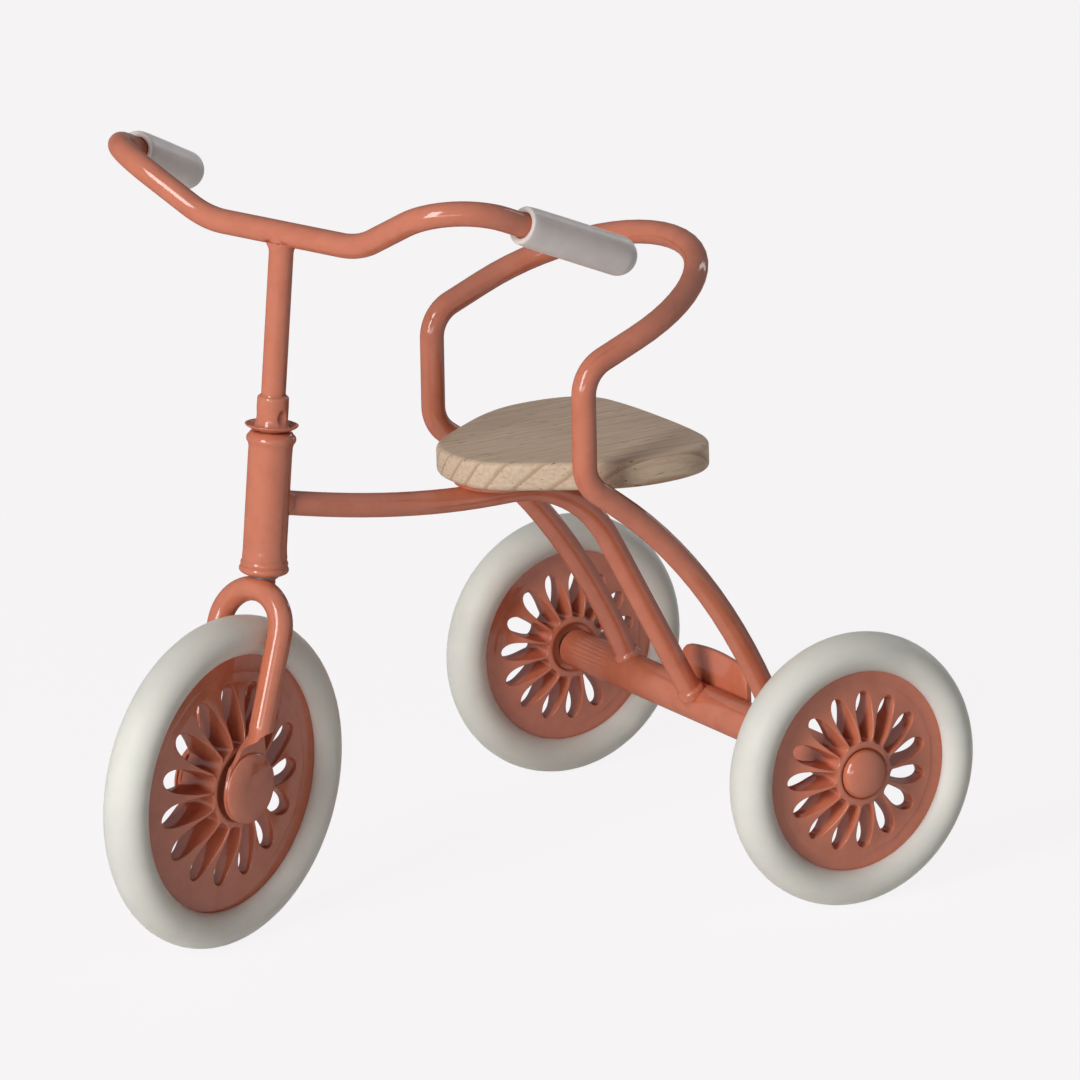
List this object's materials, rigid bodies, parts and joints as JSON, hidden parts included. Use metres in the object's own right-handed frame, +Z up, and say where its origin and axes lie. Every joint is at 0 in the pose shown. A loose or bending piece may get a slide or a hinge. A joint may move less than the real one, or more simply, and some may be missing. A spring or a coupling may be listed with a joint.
{
  "type": "miniature tricycle",
  "caption": "Small tricycle with a steering cow-horn handlebar, wooden seat, bent-rod backrest hoop and freely turning petal-spoked wheels.",
  "frame": {"origin": "on the ground, under the middle of the box around the whole tricycle", "axes": "+X towards the rider's left, -Y forward in the direction of travel, +Z up"},
  "size_m": [0.0932, 0.124, 0.1113],
  "materials": {
    "paint": "gloss",
    "steel": "satin",
    "tyre": "matt",
    "grip": "satin",
    "beech": "matt"
  },
  "bodies": {
    "frame": {"head_tube": "paint", "main_tube": "paint", "backrest_loop": "paint", "rear_axle_tube": "paint", "rear_axle": "steel", "stay_gusset": "paint", "seat_bracket": "paint", "seat": "beech", "left_seat_screw": "steel", "left_axle_washer": "steel", "left_hub_cap": "paint", "right_seat_screw": "steel", "right_axle_washer": "steel", "right_hub_cap": "paint"},
    "steering": {"handlebar": "paint", "handlebar_stem": "paint", "stem_collar": "paint", "fork": "paint", "fork_washer": "steel", "front_axle": "steel", "left_grip": "grip", "left_axle_cap": "paint", "left_hub_spacer": "steel", "right_grip": "grip", "right_axle_cap": "paint", "right_hub_spacer": "steel"},
    "front_wheel": {"front_wheel_disc": "paint", "front_tyre": "tyre"},
    "left_wheel": {"left_wheel_disc": "paint", "left_tyre": "tyre"},
    "right_wheel": {"right_wheel_disc": "paint", "right_tyre": "tyre"}
  },
  "joints": [
    {"name": "steering_turn", "type": "hinge", "parent": "frame", "child": "steering", "pos_m": [0.00213, -0.03401, 0.02], "axis": [0, 0.108, 0.9942], "continuous": true},
    {"name": "front_wheel_turn", "type": "hinge", "parent": "steering", "child": "front_wheel", "pos_m": [0.00435, -0.0394, 0.024], "axis": [0.9336, 0.3563, -0.0387], "continuous": true},
    {"name": "left_wheel_turn", "type": "hinge", "parent": "frame", "child": "left_wheel", "pos_m": [0.04163, 0.04202, 0.02], "axis": [1, 0, 0], "continuous": true},
    {"name": "right_wheel_turn", "type": "hinge", "parent": "frame", "child": "right_wheel", "pos_m": [-0.03737, 0.04202, 0.02], "axis": [1, 0, 0], "continuous": true}
  ]
}
